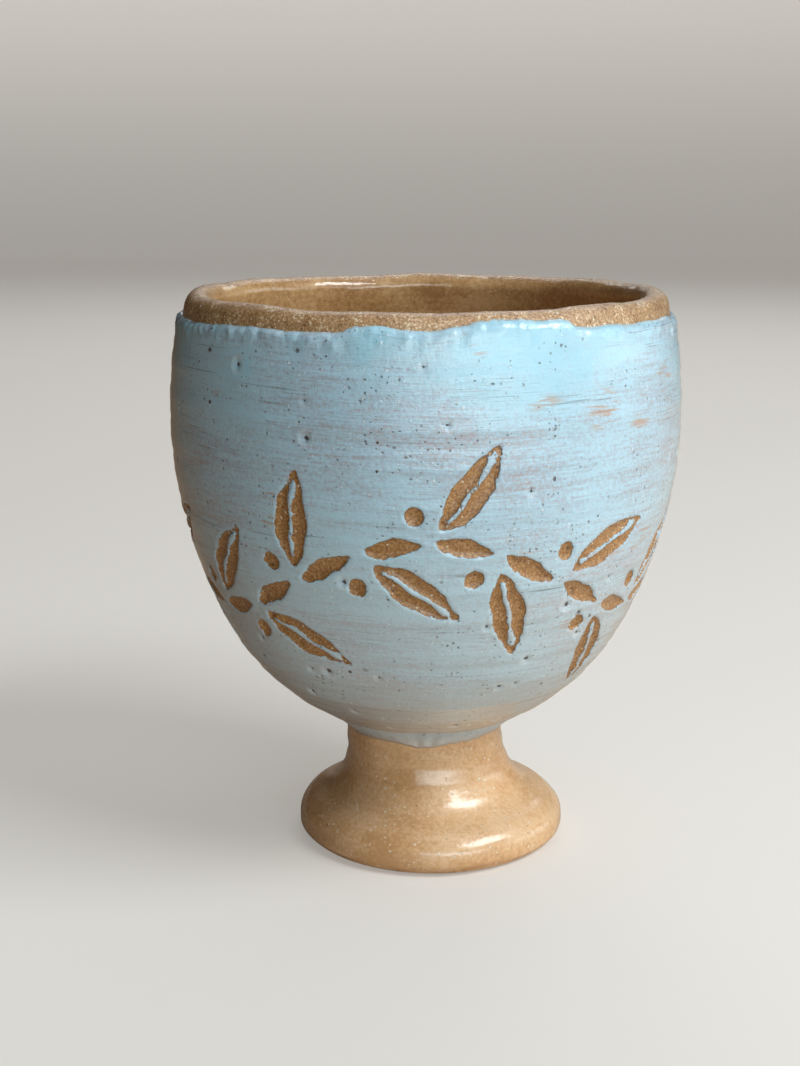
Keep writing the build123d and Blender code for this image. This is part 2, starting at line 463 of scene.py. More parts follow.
def makeSlipFinish():
    material, tree, shader = newFinish("brushedSlip")
    place = objectPlace(tree)
    brush = layerOf(tree, "brush", "Vector")
    fine = noiseOn(tree, stretched(tree, brush, 190, 3400), 1.0, 4, 0.66)
    broad = noiseOn(tree, stretched(tree, brush, 45, 430), 1.0, 3)
    cloud = noiseOn(tree, place, 34, 4)
    salt = noiseOn(tree, place, 1900, 2)
    thickness = calc(tree, "MULTIPLY_ADD", fine, 0.28, calc(tree, "MULTIPLY", broad, 0.16))
    thickness = calc(tree, "MULTIPLY_ADD", cloud, 0.34, thickness)
    thickness = calc(tree, "MULTIPLY_ADD", salt, 0.22, thickness)
    level = heightOf(tree, place)
    loaded = between(tree, level, slipLook["loadedLow"], slipLook["loadedHigh"])
    thickness = calc(tree, "MULTIPLY_ADD", loaded, 0.05, thickness)
    slip = colourSteps(tree, thickness, [
        (0.41, slipTones["bare"]), (0.475, slipTones["thin"]),
        (0.53, slipTones["even"]), (0.60, slipTones["thick"])])
    # cyan patches near the top: pooled slip, and partly a painted cyan sheen
    pooledSheen = calc(tree, "MULTIPLY", between(tree, noiseOn(tree, place, 70, 3), 0.42, 0.62), loaded)
    slip = tint(tree, pooledSheen, 0.6, slip, slipTones["wetSheen"])
    chalky = between(tree, level, slipLook["chalkHigh"], slipLook["chalkLow"])
    slip = tint(tree, chalky, 0.42, slip, slipTones["chalk"])
    # towards the stem: thinner slip, with painted shade and warm reflection
    thinAndShaded = between(tree, level, slipLook["thinShadedHigh"], slipLook["thinShadedLow"])
    slip = tint(tree, thinAndShaded, 0.6, slip, slipTones["low"])
    fading = calc(tree, "MULTIPLY_ADD", fine, slipLook["fadeRagged"], level)
    thinned = between(tree, fading, slipLook["fadeHigh"], slipLook["fadeLow"])
    slip = tint(tree, thinned, 0.3, slip, clayTones["mid"])

    lines = noiseOn(tree, stretched(tree, brush, 75, 4600), 1.0, 2)
    where = noiseOn(tree, stretched(tree, brush, 40, 260), 1.0, 2)
    lineMask = calc(tree, "MULTIPLY", between(tree, lines, 0.61, 0.70), between(tree, where, 0.50, 0.60))
    slip = tint(tree, lineMask, 0.55, slip, slipTones["hairline"])

    dashes = noiseOn(tree, stretched(tree, brush, 150, 1700), 1.0, 3, 0.6)
    spots = noiseOn(tree, stretched(tree, place, 60, 110), 1.0, 2)
    rubbed = nearTo(tree, place, slipLook["wornPlace"], slipLook["wornInner"], slipLook["wornOuter"])
    worn = calc(tree, "MAXIMUM", between(tree, spots, 0.61, 0.70), rubbed)
    scuffs = calc(tree, "MULTIPLY", between(tree, dashes, 0.51, 0.59), worn)
    slip = tint(tree, scuffs, 0.7, slip, slipTones["scuff"])

    pit = layerOf(tree, "pit")
    # a pale ring round each blown pit: a painted glint
    craterGlint = calc(tree, "MULTIPLY", between(tree, pit, 0.9, 1.3), between(tree, pit, 2.1, 1.7))
    slip = tint(tree, craterGlint, 0.15, slip, slipTones["glint"])
    rough = jittered(tree, place, 1800, 0.5 * mm)
    crowd = between(tree, noiseOn(tree, place, 130, 3), 0.38, 0.60)  # blown specks come in crowds
    pinholes = calc(tree, "MULTIPLY", specks(tree, rough, 430, 0.38, 0.20), crowd)
    dust = calc(tree, "MULTIPLY", specks(tree, rough, 1250, 0.75, 0.31), crowd)
    # white beads in the slip, raised in the relief; their pale glint colour is a painted highlight
    beadGlints = specks(tree, jittered(tree, place, 1500, 0.4 * mm), 1200, 0.70, 0.29)
    beadGlints = calc(tree, "MULTIPLY", beadGlints, calc(tree, "MULTIPLY_ADD", crowd, 0.7, 0.3))
    dark = calc(tree, "MAXIMUM", pinholes, calc(tree, "MULTIPLY", dust, 0.7))
    dark = calc(tree, "MAXIMUM", dark, between(tree, pit, 0.62, 0.40))
    slip = tint(tree, beadGlints, 0.5, slip, slipTones["glint"])
    slip = tint(tree, dark, 0.9, slip, clayTones["iron"])

    nibbled = calc(tree, "MULTIPLY_ADD", noiseOn(tree, place, 650, 3, 0.6), 1.1, layerOf(tree, "cut"))
    cutMask = between(tree, nibbled, 0.58, 0.50)
    grit = noiseOn(tree, place, 2400, 4, 0.75)
    cutClay = colourSteps(tree, grit, [
        (0.39, clayTones["cutDark"]), (0.50, clayTones["cut"]), (0.62, clayTones["cutPale"])])
    flecks = specks(tree, rough, 1000, 0.26, 0.30)
    # pale grain-coloured specks in the cut clay: painted glints on its glaze
    glints = specks(tree, rough, 1400, 0.50, 0.32)
    cutClay = tint(tree, flecks, 0.75, cutClay, clayTones["iron"])
    cutClay = tint(tree, glints, 0.75, cutClay, clayTones["grain"])
    feed(tree, shader.inputs["Base Color"], blendColour(tree, cutMask, slip, cutClay))
    feed(tree, shader.inputs["Roughness"], calc(tree, "MULTIPLY_ADD", cutMask, 0.15, 0.40))

    height = calc(tree, "MULTIPLY", fine, 0.05 * mm)
    height = calc(tree, "MULTIPLY_ADD", lines, 0.02 * mm, height)
    height = calc(tree, "MULTIPLY_ADD", salt, 0.05 * mm, height)
    height = calc(tree, "MULTIPLY_ADD", noiseOn(tree, place, 420, 3), 0.08 * mm, height)
    height = calc(tree, "MULTIPLY_ADD", beadGlints, 0.06 * mm, height)
    height = calc(tree, "MULTIPLY_ADD", dark, -0.16 * mm, height)
    height = calc(tree, "MULTIPLY_ADD", between(tree, nibbled, 0.64, 0.46), -0.26 * mm, height)
    gritHeight = calc(tree, "MULTIPLY", calc(tree, "ADD", grit, glints), cutMask)
    glossOver(tree, shader, calc(tree, "MULTIPLY_ADD", gritHeight, 0.08 * mm, height), 0.06)
    return material


def makeLipFinish():  # bare, groggy clay
    material, tree, shader = newFinish("groggyClay")
    place = objectPlace(tree)
    cloud = noiseOn(tree, place, 240, 3, 0.6)
    grit = noiseOn(tree, place, 2500, 3, 0.75)
    tone = calc(tree, "MULTIPLY_ADD", cloud, 0.3, calc(tree, "MULTIPLY", grit, 0.7))
    clay = colourSteps(tree, tone, [
        (0.40, clayTones["cutDark"]), (0.475, clayTones["lip"]),
        (0.55, clayTones["cutPale"]), (0.62, clayTones["grain"])])
    rough = jittered(tree, place, 2200, 0.4 * mm)
    crumbs = specks(tree, rough, 900, 0.40, 0.32)
    iron = specks(tree, rough, 1300, 0.24, 0.30)
    clay = tint(tree, iron, 0.8, clay, clayTones["iron"])
    clay = tint(tree, crumbs, 0.8, clay, clayTones["grain"])
    feed(tree, shader.inputs["Base Color"], clay)
    feed(tree, shader.inputs["Roughness"], calc(tree, "MULTIPLY_ADD", grit, -0.3, 0.6))
    height = calc(tree, "MULTIPLY", crumbs, 0.06 * mm)
    height = calc(tree, "MULTIPLY_ADD", grit, 0.20 * mm, height)
    glossOver(tree, shader, height, 0.06)
    return material


def makeGlazedClay(name, paleTone, midTone, darkTone, wave, grainShow):  # clay under clear glaze
    material, tree, shader = newFinish(name)
    place = objectPlace(tree)
    cloud = noiseOn(tree, place, 85, 4, 0.6)
    rings = noiseOn(tree, stretched(tree, place, 18, 520), 1.0, 3)
    grit = noiseOn(tree, place, 1500, 3, 0.7)
    tone = calc(tree, "MULTIPLY_ADD", cloud, 0.42, calc(tree, "MULTIPLY", rings, 0.2))
    tone = calc(tree, "MULTIPLY_ADD", grit, 0.38, tone)
    clay = colourSteps(tree, tone, [(0.42, darkTone), (0.50, midTone), (0.58, paleTone)])
    rough = jittered(tree, place, 1900, 0.4 * mm)
    iron = specks(tree, rough, 800, 0.36, 0.18)
    coarse = specks(tree, rough, 640, 0.50, 0.20)
    grain = calc(tree, "MAXIMUM", coarse, specks(tree, rough, 1250, 0.60, 0.30))
    clay = tint(tree, iron, 0.55 * grainShow, clay, clayTones["iron"])
    clay = tint(tree, grain, 0.8 * grainShow, clay, clayTones["grain"])
    feed(tree, shader.inputs["Base Color"], clay)
    feed(tree, shader.inputs["Roughness"], calc(tree, "MULTIPLY_ADD", cloud, 0.2, 0.34))
    height = calc(tree, "MULTIPLY", noiseOn(tree, place, 180, 2), wave)
    height = calc(tree, "MULTIPLY_ADD", grit, 0.035 * mm * grainShow, height)
    height = calc(tree, "MULTIPLY_ADD", grain, 0.09 * mm * grainShow, height)
    glossOver(tree, shader, height, 0.03)
    return material


def makeDryClay():  # unglazed underside of the foot
    material, tree, shader = newFinish("dryClay")
    place = objectPlace(tree)
    cloud = noiseOn(tree, place, 300, 4, 0.65)
    clay = colourSteps(tree, cloud, [
        (0.34, clayTones["dark"]), (0.50, clayTones["mid"]), (0.66, clayTones["pale"])])
    iron = calc(tree, "MULTIPLY", specks(tree, place, 900, 0.2, 0.26), 0.6)
    feed(tree, shader.inputs["Base Color"], blendColour(tree, iron, clay, clayTones["iron"]))
    feed(tree, shader.inputs["Roughness"], calc(tree, "MULTIPLY_ADD", cloud, 0.2, 0.62))
    grit = calc(tree, "MULTIPLY", noiseOn(tree, place, 1500, 4), 0.1 * mm)
    feed(tree, shader.inputs["Normal"], bumpFrom(tree, grit))
    return material


slipFinish = makeSlipFinish()
lipFinish = makeLipFinish()
linerFinish = makeGlazedClay(
    "linerGlaze", paint(203, 164, 116), paint(184, 143, 94), paint(158, 115, 70), 0.04 * mm, 0.25)
footFinish = makeGlazedClay(
    "footGlaze", clayTones["pale"], clayTones["mid"], paint(205, 155, 105), 0.07 * mm, 1.0)
dryFinish = makeDryClay()
print("finishes made")


# Carved vine, placed on the bowl by the part's own formula
vine = {
    "waves": 3,
    "strokesPerWave": 8,
    "height": 53.5 * mm,
    "swing": 7.0 * mm,
    "strokeGap": 1.6 * mm,
    "strokeWidth": 2.8 * mm,
    "leafLength": 15.5 * mm,
    "leafWidth": 5.2 * mm,
    "leafAngle": math.radians(56),
    "leafGap": 2.6 * mm,
    "berryRadius": 1.5 * mm,
    "berryAngle": math.radians(115),
    "berryReach": 5.0 * mm,
    "grooveDepth": 0.45 * mm,
    "wallInside": 0.36 * mm,  # how far a groove's wall slopes, inside and outside its edge
    "wallOutside": 0.08 * mm,
    "burr": 0.04 * mm,  # slip pushed up beside a groove
    "burrPlace": 0.26 * mm,
    "burrWidth": 0.24 * mm,
    "rib": 0.34 * mm,  # slip left down the middle of each leaf, as half its width
    "ribSwell": 0.3 * mm,
    "leafBend": 0.9 * mm,
    "stemBend": 0.3 * mm,
    "headingSpread": 0.06,
    "taper": 0.18,  # a stroke narrows from its start to its end
    "berrySquash": 1.15,
    "chatter": 0.12 * mm,  # shake of the tool
    "chatterLength": 0.9 * mm,
    "seed": 11,
}


def surfacePlace(height):  # radius and outward slope of the bowl's clay at a height
    if height > bellyHeight:
        centre, radius = upperCentre, upperRadius + halfWall
    elif height > sideCentre[1] - sideRadius * math.sin(cup["sideSweep"]):
        centre, radius = sideCentre, sideRadius
    else:
        centre, radius = bottomCentre, bottomRadius
    slope = math.asin((height - centre[1]) / radius)
    return centre[0] + radius * math.cos(slope), slope


def strokeFrame(turn, height, heading):  # point, direction along and direction across a stroke
    reach, slope = surfacePlace(height)
    outward = np.array([math.cos(turn), math.sin(turn), 0])
    around = np.array([-math.sin(turn), math.cos(turn), 0])
    up = np.array([0, 0, 1])
    climb = up * math.cos(slope) - outward * math.sin(slope)
    along = around * math.cos(heading) + climb * math.sin(heading)
    across = climb * math.cos(heading) - around * math.sin(heading)
    return outward * reach + up * height, along, across


def stepOver(turn, height, heading, distance):
    reach, slope = surfacePlace(height)
    climb = distance * math.sin(heading) * math.cos(slope)
    return turn + distance * math.cos(heading) / reach, height + climb


def vinePlace(turn):
    height = vine["height"] + vine["swing"] * math.sin(vine["waves"] * turn)
    reach, slope = surfacePlace(height)
    climb = vine["waves"] * vine["swing"] * math.cos(vine["waves"] * turn)
    return height, math.atan2(climb / math.cos(slope), reach)


def lensDistance(along, across, length, width):  # signed distance to a lens of two arcs, below 0 inside
    half = length / 2
    radius = (half ** 2 + (width / 2) ** 2) / width
    apart = radius - width / 2
    a, b = np.abs(along), np.abs(across)
    tip = np.hypot(a - half, b)
    side = np.hypot(b + apart, a) - radius
    return np.where((a - half) * apart > b * half, tip, side)


def vineStrokes():  # every stroke as turn, height, heading, length, width and kind
    strokes = []
    count = vine["waves"] * vine["strokesPerWave"]
    jointTurn = math.tau / count
    for joint in range(count):
        turn = jointTurn * (joint + 0.5)
        height, heading = vinePlace(turn)
        reach, _ = surfacePlace(height)
        length = jointTurn * reach / math.cos(heading) - vine["strokeGap"]
        strokes.append((turn, height, heading, length, vine["strokeWidth"], "stem"))
        turn = jointTurn * joint
        height, heading = vinePlace(turn)
        side = 1 if joint % 2 == 0 else -1
        leafHeading = heading + side * vine["leafAngle"]
        place = stepOver(turn, height, leafHeading, vine["leafGap"] + vine["leafLength"] / 2)
        strokes.append((*place, leafHeading, vine["leafLength"], vine["leafWidth"], "leaf"))
        berryHeading = heading + side * vine["berryAngle"]
        place = stepOver(turn, height, berryHeading, vine["berryReach"])
        strokes.append((*place, berryHeading, 0.0, 2 * vine["berryRadius"], "berry"))
    return strokes


def carveDistance(points):  # distance to the edge of the nearest stroke, below 0 inside one
    dice = np.random.default_rng(vine["seed"])
    nearest = np.full(len(points), 3 * mm)
    for turn, height, heading, length, width, kind in vineStrokes():
        heading += dice.uniform(-1, 1) * vine["headingSpread"]
        origin, along, across = strokeFrame(turn, height, heading)
        bend = dice.uniform(-1, 1) * (vine["leafBend"] if kind == "leaf" else vine["stemBend"])
        chatterPhase = dice.uniform(0, math.tau)
        offset = points - origin
        close = np.nonzero((offset ** 2).sum(axis=1) < (length / 2 + width + 2 * mm) ** 2)[0]
        a = offset[close] @ along
        b = offset[close] @ across
        if kind == "berry":
            found = np.hypot(a, b * vine["berrySquash"]) - width / 2
        else:
            half = length / 2
            b = b - bend * (1 - (a / half) ** 2)
            b = b + vine["chatter"] * np.sin(a / vine["chatterLength"] + chatterPhase)
            found = lensDistance(a, b, length, width * (1 - vine["taper"] * a / half))
            if kind == "leaf":  # its rib swells, then stops short of the tip
                rib = vine["rib"] - np.abs(b) + vine["ribSwell"] * ease(a, 0.25 * half, 0.75 * half)
                rib -= vine["ribSwell"] * (a > 0.7 * half)
                found = np.maximum(found, np.where(np.abs(a) < 0.8 * half, rib, found))
        nearest[close] = np.minimum(nearest[close], found)
    return nearest


# White slip over the bowl, with its glaze
slip = {
    "coat": glazeHigh.x - bowlHigh.x,  # slip and glaze together
    "lowEdge": slipLow.z,
    "topEdge": slipHigh.z,
    "columns": 548,
    "bandStep": 0.43 * mm,  # rows where the vine runs
    "plainStep": 0.62 * mm,  # rows elsewhere
    "bandLow": 30 * mm,
    "bandHigh": 77 * mm,
    "topTaper": 0.9 * mm,  # how fast the coat thins towards its edges
    "lowTaper": 4.5 * mm,
    "edgeShare": 0.15,  # how much of its thickness is left there
    "backInset": 0.1 * mm,  # its back lies this far inside the clay
    "innerRows": 9,
    "topHump": 0.65 * mm,  # the top edge is brushed higher at the front and back than at the sides
    "humpTurn": math.radians(-80),
    "topDrop": 0.30 * mm,
    "laps": (  # brush laps at the front: rise up the lip, then the turns where each starts and stops
        (1.0 * mm, math.radians(-90), math.radians(-75), math.radians(-60), math.radians(-57)),
        (0.7 * mm, math.radians(-109), math.radians(-105), math.radians(-100), math.radians(-93)),
    ),
    "topWander": 0.22 * mm,
    "topSeed": 21,
    "topReach": 5 * mm,  # how far from each edge its wandering is felt
    "lowReach": 2.5 * mm,
    "dripDepth": 0.75 * mm,  # a drip on the stem, at the front
    "dripTurn": math.radians(-85),
    "dripWidth": math.radians(17),
    "lowWander": 0.20 * mm,
    "lowSeed": 25,
    "brushRidge": 0.05 * mm,
    "brushBands": (1.9 * mm, 2.7 * mm, 4.1 * mm),  # never quite level
    "throwRidge": 0.05 * mm,
    "throwSpacing": 6.2 * mm,
    "edgeLump": 0.14 * mm,  # thick slip left lumpy along its top edge
    "edgeLarge": 2.6 * mm,
    "edgeSmall": 1.3 * mm,
    "edgeSeed": 41,
    "pitCount": 110,
    "pitDepth": 0.34 * mm,
    "pitRim": 0.06 * mm,
    "pitSmall": 0.35 * mm,
    "pitLarge": 0.8 * mm,
    "seed": 5,
}


def slipPath():  # the clay line that the slip lies on, from the stem up over the start of the lip's round
    bead = beadCentre()
    fromFlare = angleTo(flareCentre, bead)
    start = math.pi - math.asin((slip["lowEdge"] - 2 * mm - cup["waist"]) / flareRadius)
    step = 0.1 * mm
    return np.array(joinWalks(
        walkArc(flareCentre, flareRadius, start, fromFlare % math.tau, step),
        walkArc(bead, cup["bead"], fromFlare % math.tau, angleTo(bead, bottomCentre), step),
        walkArc(bottomCentre, bottomRadius, angleTo(bottomCentre, bead), -cup["sideSweep"], step),
        walkArc(sideCentre, sideRadius, -cup["sideSweep"], 0, step),
        walkArc(upperCentre, upperRadius + halfWall, 0, lipLean, step),
        walkArc(lipCentre, halfWall, lipLean, quarterTurn, step),
    ))


def slipRows(length, height):  # how far along the path each row of the skin lies
    marks = [slip["lowEdge"], slip["bandLow"], slip["bandHigh"], slip["topEdge"]]
    stops = np.interp(marks, height, length)
    rows = []
    for start, end, step in zip(stops, stops[1:], (slip["plainStep"], slip["bandStep"], slip["plainStep"])):
        rows.append(np.linspace(start, end, math.ceil((end - start) / step), endpoint=False))
    return np.concatenate([*rows, stops[-1:]])


def ragged(turn, seed):  # uneven edge round the cup, about +-1
    ring = np.stack([np.cos(turn), np.sin(turn), 0 * turn], axis=1)
    return lumps(ring, 0.5, seed) + 0.6 * lumps(ring, 0.12, seed + 1)


def buildSlip():
    path = slipPath()
    step = np.gradient(path, axis=0)
    step /= np.linalg.norm(step, axis=1)[:, None]
    normal = np.stack([step[:, 1], -step[:, 0]], axis=1)
    length = np.concatenate([[0], np.cumsum(np.linalg.norm(np.diff(path, axis=0), axis=1))])

    def onPath(along, off):  # radius and height of a point off the path by a distance
        spots = [np.interp(along, length, values) for values in (*path.T, *normal.T)]
        return spots[0] + spots[2] * off, spots[1] + spots[3] * off

    rows = slipRows(length, path[:, 1])
    thin = slip["edgeShare"]
    coat = slip["coat"] * (thin + (1 - thin) * ease(rows[-1] - rows, 0, slip["topTaper"]))
    coat *= thin + (1 - thin) * ease(rows - rows[0], 0, slip["lowTaper"])
    back = rows[np.linspace(len(rows) - 1, 0, slip["innerRows"]).astype(int)]
    rowAlong = np.concatenate([rows, back])
    rowOff = np.concatenate([coat, np.full(len(back), -slip["backInset"])])
    rowRadius, rowHeight = onPath(rowAlong, rowOff)
    profile = list(zip(rowRadius, rowHeight))
    piece = latheProfile("slip_coat_skin", profile + profile[:1], slip["columns"])

    x, y, z = readPoints(piece).T
    turn = np.arctan2(y, x)
    row = nearestRow(np.hypot(x, y), z, rowRadius, rowHeight)
    along, off = rowAlong[row], rowOff[row]
    outer = off > 0
    around = np.stack([np.cos(turn), np.sin(turn), 0 * turn], axis=1)
    clayRadius, clayHeight = onPath(along, 0)
    clay = around * clayRadius[:, None]
    clay[:, 2] = clayHeight

    cut = carveDistance(clay)
    push = -vine["grooveDepth"] * (1 - ease(cut, -vine["wallInside"], vine["wallOutside"]))
    push += vine["burr"] * np.exp(-((cut - vine["burrPlace"]) / vine["burrWidth"]) ** 2)
    dice = np.random.default_rng(slip["seed"])
    ridge = slip["brushRidge"] / len(slip["brushBands"])
    for spacing in slip["brushBands"]:
        drift = dice.uniform(0, math.tau, 3)
        tilt = 1.3 * np.sin(turn + drift[0]) + 0.9 * np.sin(3 * turn + drift[1])
        push += ridge * np.sin(math.tau * along / spacing + tilt + drift[2])
    push += slip["throwRidge"] * np.sin(math.tau * along / slip["throwSpacing"] + 0.8 * np.sin(turn))

    edge = ease(along, rows[-1] - 4 * mm, rows[-1] - 1 * mm)
    large = lumps(clay, slip["edgeLarge"], slip["edgeSeed"])
    small = lumps(clay, slip["edgeSmall"], slip["edgeSeed"] + 1)
    push += slip["edgeLump"] * edge * (0.8 * large + small)

    pit = np.full(len(clay), 3.0)
    for _ in range(slip["pitCount"]):  # blown pinholes
        pitTurn = dice.uniform(0, math.tau)
        pitZ = dice.uniform(slip["lowEdge"] + 6 * mm, slip["topEdge"] - 2 * mm)
        reach, _ = surfacePlace(pitZ)
        size = dice.uniform(slip["pitSmall"], slip["pitLarge"])
        middle = (reach * math.cos(pitTurn), reach * math.sin(pitTurn), pitZ)
        near = np.linalg.norm(clay - middle, axis=1) / size
        push -= slip["pitDepth"] * np.exp(-near ** 2)
        push += slip["pitRim"] * np.exp(-((near - 1.5) / 0.4) ** 2)
        pit = np.minimum(pit, near)

    topShift = slip["topHump"] * np.cos(2 * (turn - slip["humpTurn"])) - slip["topDrop"]
    for rise, begin, full, fade, stop in slip["laps"]:
        topShift += rise * ease(turn, begin, full) * (1 - ease(turn, fade, stop))
    topShift += slip["topWander"] * ragged(turn, slip["topSeed"])
    lowShift = slip["lowWander"] * ragged(turn, slip["lowSeed"])
    lowShift -= slip["dripDepth"] * np.exp(-((turn - slip["dripTurn"]) / slip["dripWidth"]) ** 2)
    moved = along + topShift * ease(along, rows[-1] - slip["topReach"], rows[-1])
    moved += lowShift * ease(-along, -rows[0] - slip["lowReach"], -rows[0])
    radius, height = onPath(moved, off + push * outer)
    points = around * radius[:, None]
    points[:, 2] = height
    writePoints(piece, throwUneven(points))

    level = along + 0.6 * mm * np.sin(turn + 0.8) + 0.35 * mm * np.sin(3 * turn)  # brush strokes wander too
    writeLayer(piece, "brush", "FLOAT_VECTOR", np.stack([clay[:, 0], clay[:, 1], level], axis=1))
    writeLayer(piece, "cut", "FLOAT", np.where(outer, cut / mm, 3.0))
    writeLayer(piece, "pit", "FLOAT", pit)
    piece.data.materials.append(slipFinish)
    return piece


# Thrown bowl: bare lip, glazed inside
bowl = {
    "columns": 520,
    "lipStep": 0.34 * mm,
    "insideStep": 0.9 * mm,
    "hiddenStep": 4 * mm,
    "throwRing": 0.10 * mm,  # finger rings left inside
    "ringSpacing": 6.5 * mm,
    "dent": 0.22 * mm,
    "dentSize": 2.2 * mm,
    "glazeEdge": math.radians(124),  # the glaze inside comes up over the lip to here, the crest being at 90
    "glazeWander": math.radians(9),
    "wanderLarge": 5 * mm,
    "wanderSmall": 1.6 * mm,
    "wanderSeed": 31,
    "lipLow": linerHigh.z,
}


def buildBowl():
    bend = 0.8 * lipLean  # rows are closer together from here up
    profile = joinWalks(
        walkArc(bottomCentre, bottomRadius, -quarterTurn, -cup["sideSweep"], bowl["hiddenStep"]),
        walkArc(sideCentre, sideRadius, -cup["sideSweep"], 0, bowl["hiddenStep"]),
        walkArc(upperCentre, upperRadius + halfWall, 0, bend, bowl["hiddenStep"]),
        walkArc(upperCentre, upperRadius + halfWall, bend, lipLean, bowl["lipStep"]),
        walkArc(lipCentre, halfWall, lipLean, lipLean + math.pi, bowl["lipStep"]),
        walkArc(upperCentre, upperRadius - halfWall, lipLean, bend, bowl["lipStep"]),
        walkArc(upperCentre, upperRadius - halfWall, bend, 0, bowl["insideStep"]),
        walkArc(innerSideCentre, innerSideRadius, 0, -cup["sideSweep"], bowl["insideStep"]),
        walkArc(innerBottomCentre, innerBottomRadius, -cup["sideSweep"], -quarterTurn, bowl["insideStep"]),
    )
    piece = latheProfile("bowl_clay", profile, bowl["columns"])
    points = readPoints(piece)
    x, y, z = points.T
    reach = np.hypot(x, y)
    turn = np.arctan2(y, x)
    rowRadius, rowHeight = np.array(profile).T
    row = nearestRow(reach, z, rowRadius, rowHeight)
    inside = row > np.argmax(rowHeight)  # rows run up the outside, over the lip and down the inside
    ring = bowl["throwRing"] * np.sin(math.tau * z / bowl["ringSpacing"] + turn)
    ring *= ease(reach, 2 * mm, 12 * mm) * inside * ease(-z, -lipCentre[1], -lipCentre[1] + 6 * mm)
    shaped = points - np.stack([ring * np.cos(turn), ring * np.sin(turn), 0 * ring], axis=1)
    writePoints(piece, throwUneven(shaped))

    lip = ease(z, bowl["lipLow"] - mm, bowl["lipLow"] + 0.5 * mm)
    displaceBy(piece, "lipDents", lip, "CLOUDS", bowl["dentSize"], bowl["dent"])

    roundLip = np.arctan2(z - lipCentre[1], reach - lipCentre[0]) % math.tau
    wander = lumps(points, bowl["wanderLarge"], bowl["wanderSeed"])
    wander += 0.6 * lumps(points, bowl["wanderSmall"], bowl["wanderSeed"] + 1)
    glazeEdge = bowl["glazeEdge"] + bowl["glazeWander"] * wander
    bare = ~inside | ((z > bowl["lipLow"]) & (roundLip < glazeEdge))
    finishFaces(piece, linerFinish, lipFinish, bare)
    return piece


# Thrown foot under its glaze
foot = {
    "columns": 340,
    "step": 0.40 * mm,
    "hiddenStep": 0.8 * mm,
    "bareHeight": 1.2 * mm,  # glaze is wiped off below this
    "bareWander": 0.25 * mm,
    "bareLump": 7 * mm,
    "bareSeed": 41,
    "glaze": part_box("foot_glaze")[1].x - footHigh.x,
    "lump": 0.18 * mm,
    "lumpSize": 15 * mm,
    "lumpSeed": 8,
    "ring": 0.05 * mm,
    "ringSpacing": 3.1 * mm,
    "trimRidge": 0.10 * mm,  # turning marks in the hollow
    "trimSpacing": 1.7 * mm,
    "ringRound": 0.6 * mm,  # worn inner edge of the standing ring
}


def buildFoot():
    reach = cup["flangeRadius"] - cup["stemRadius"]
    drop = cup["waist"] - cup["flangeEdge"]
    bothRadii = (reach ** 2 + drop ** 2) / (2 * reach)
    hollow = bothRadii - cup["flangeCrown"]
    sweep = math.atan2(drop, bothRadii - reach)
    hollowCentre = (cup["stemRadius"] + hollow, cup["waist"])
    crownCentre = (cup["flangeRadius"] - cup["flangeCrown"], cup["flangeEdge"])
    edgeCentre = (cup["flangeRadius"] - cup["flangeEdge"], cup["flangeEdge"])
    capRadius = (cup["recessRadius"] ** 2 + cup["recessDepth"] ** 2) / (2 * cup["recessDepth"])
    capCentre = (0.0, cup["recessDepth"] - capRadius)
    ringInside = (cup["recessRadius"] + foot["ringRound"], 0.0)
    recessEdge = (cup["recessRadius"], foot["ringRound"])
    seatTop = (seatRadius, seatHeight)
    seatDish = (seatRadius - 4 * mm, cup["bottom"] + mm)
    outside = joinWalks(
        walkLine((0.0, cup["bottom"] - mm), seatDish, 2 * mm),
        walkLine(seatDish, seatTop, mm),
        walkArc(flareCentre, flareRadius, angleTo(flareCentre, seatTop) % math.tau, math.pi, foot["step"]),
        walkArc(hollowCentre, hollow, math.pi, math.pi + sweep, foot["step"]),
        walkArc(crownCentre, cup["flangeCrown"], sweep, 0, foot["step"]),
        walkArc(edgeCentre, cup["flangeEdge"], 0, -quarterTurn, foot["step"]),
    )
    underside = joinWalks(
        walkLine((edgeCentre[0], 0.0), ringInside, foot["hiddenStep"]),
        walkLine(ringInside, recessEdge, foot["step"]),
        walkArc(capCentre, capRadius, angleTo(capCentre, recessEdge), quarterTurn, foot["hiddenStep"]),
    )
    profile = joinWalks(outside, underside)
    piece = latheProfile("foot_clay", profile, foot["columns"])
    points = readPoints(piece)
    x, y, z = points.T
    reach = np.hypot(x, y)
    turn = np.arctan2(y, x)
    under = nearestRow(reach, z, *np.array(profile).T) >= len(outside)
    belowSlip = ease(slip["lowEdge"] - z, 0.6 * mm, 3 * mm)
    show = ease(z, 0.2 * mm, 2.0 * mm) * belowSlip * ~under
    out = show * (foot["lump"] * lumps(points, foot["lumpSize"], foot["lumpSeed"]) + foot["glaze"])
    out += show * foot["ring"] * np.sin(math.tau * z / foot["ringSpacing"] + 1.4 * np.sin(turn))
    trim = foot["trimRidge"] * np.sin(math.tau * reach / foot["trimSpacing"])
    trim *= under * ease(z, 0, 3 * mm) * ease(reach, mm, 4 * mm)
    shaped = points + np.stack([out * np.cos(turn), out * np.sin(turn), trim], axis=1)
    shaped[:, 0] += throwing["footShift"] * ease(-z, -20 * mm, -2 * mm)
    writePoints(piece, shaped)

    wander = foot["bareWander"] * lumps(points, foot["bareLump"], foot["bareSeed"])
    bare = (z < foot["bareHeight"] + wander) | under
    finishFaces(piece, footFinish, dryFinish, bare)
    return piece


slipSkin = buildSlip()
print("slip coat carved:", len(slipSkin.data.polygons), "faces")
bowlClay = buildBowl()
print("bowl thrown:", len(bowlClay.data.polygons), "faces")
footClay = buildFoot()
print("foot thrown:", len(footClay.data.polygons), "faces")

